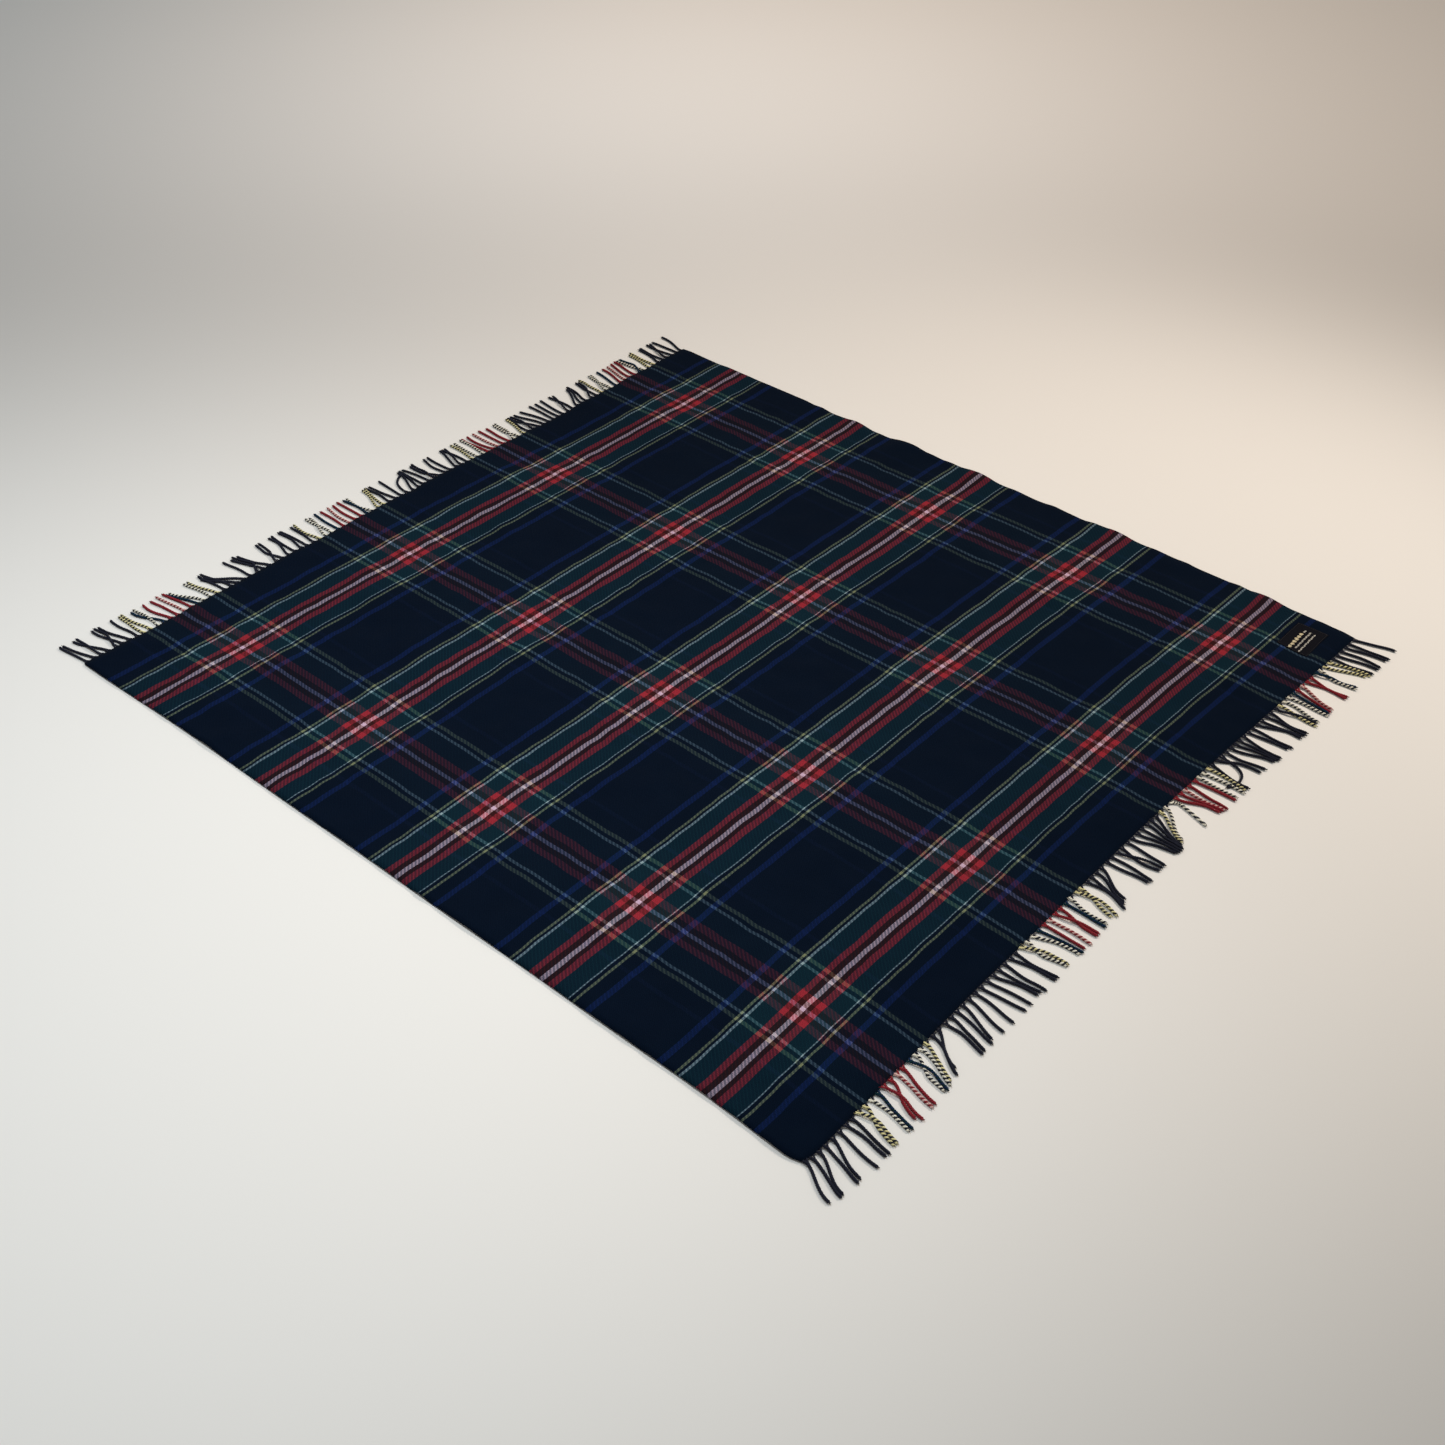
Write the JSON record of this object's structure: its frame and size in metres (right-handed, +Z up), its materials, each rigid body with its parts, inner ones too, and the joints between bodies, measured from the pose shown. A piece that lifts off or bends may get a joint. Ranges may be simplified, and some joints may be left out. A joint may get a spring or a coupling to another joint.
{
  "type": "throw blanket",
  "caption": "Rectangular fringed tartan throw laid flat, with a small sewn corner label, made to fold in half across its length.",
  "frame": {"origin": "on the floor under the middle of the open throw, fringes included", "axes": "+X across the cloth along the weft, towards the label's side; +Y along the warp, away from the label's end; +Z up"},
  "size_m": [1.4, 1.605, 0.0044],
  "materials": {
    "tartan_cloth": "brushed wool twill in a navy and green tartan with red, white, yellow and blue lines",
    "navy_yarn": "twisted navy and black wool",
    "green_yarn": "twisted green wool with white and yellow strands",
    "red_yarn": "twisted red wool with dark and pale strands",
    "label_weave": "dark satin-woven label with pale woven lines",
    "label_thread": "dark sewing thread"
  },
  "bodies": {
    "far_half": {"far_cloth": "tartan_cloth", "far_fringe_green_1": "green_yarn", "far_fringe_green_2": "green_yarn", "far_fringe_green_3": "green_yarn", "far_fringe_green_4": "green_yarn", "far_fringe_green_5": "green_yarn", "far_fringe_green_6": "green_yarn", "far_fringe_green_7": "green_yarn", "far_fringe_green_8": "green_yarn", "far_fringe_navy_1": "navy_yarn", "far_fringe_navy_2": "navy_yarn", "far_fringe_navy_3": "navy_yarn", "far_fringe_navy_4": "navy_yarn", "far_fringe_navy_5": "navy_yarn", "far_fringe_red_1": "red_yarn", "far_fringe_red_2": "red_yarn", "far_fringe_red_3": "red_yarn", "far_fringe_red_4": "red_yarn"},
    "near_half": {"near_cloth": "tartan_cloth", "label_stitching": "label_thread", "near_fringe_green_1": "green_yarn", "near_fringe_green_2": "green_yarn", "near_fringe_green_3": "green_yarn", "near_fringe_green_4": "green_yarn", "near_fringe_green_5": "green_yarn", "near_fringe_green_6": "green_yarn", "near_fringe_green_7": "green_yarn", "near_fringe_green_8": "green_yarn", "near_fringe_navy_1": "navy_yarn", "near_fringe_navy_2": "navy_yarn", "near_fringe_navy_3": "navy_yarn", "near_fringe_navy_4": "navy_yarn", "near_fringe_navy_5": "navy_yarn", "near_fringe_red_1": "red_yarn", "near_fringe_red_2": "red_yarn", "near_fringe_red_3": "red_yarn", "near_fringe_red_4": "red_yarn", "woven_label": "label_weave"}
  },
  "joints": [
    {"name": "fold_in_half", "type": "hinge", "parent": "far_half", "child": "near_half", "pos_m": [0, 0, 0.0075], "axis": [-1, 0, 0], "range_deg": [0, 180]}
  ]
}
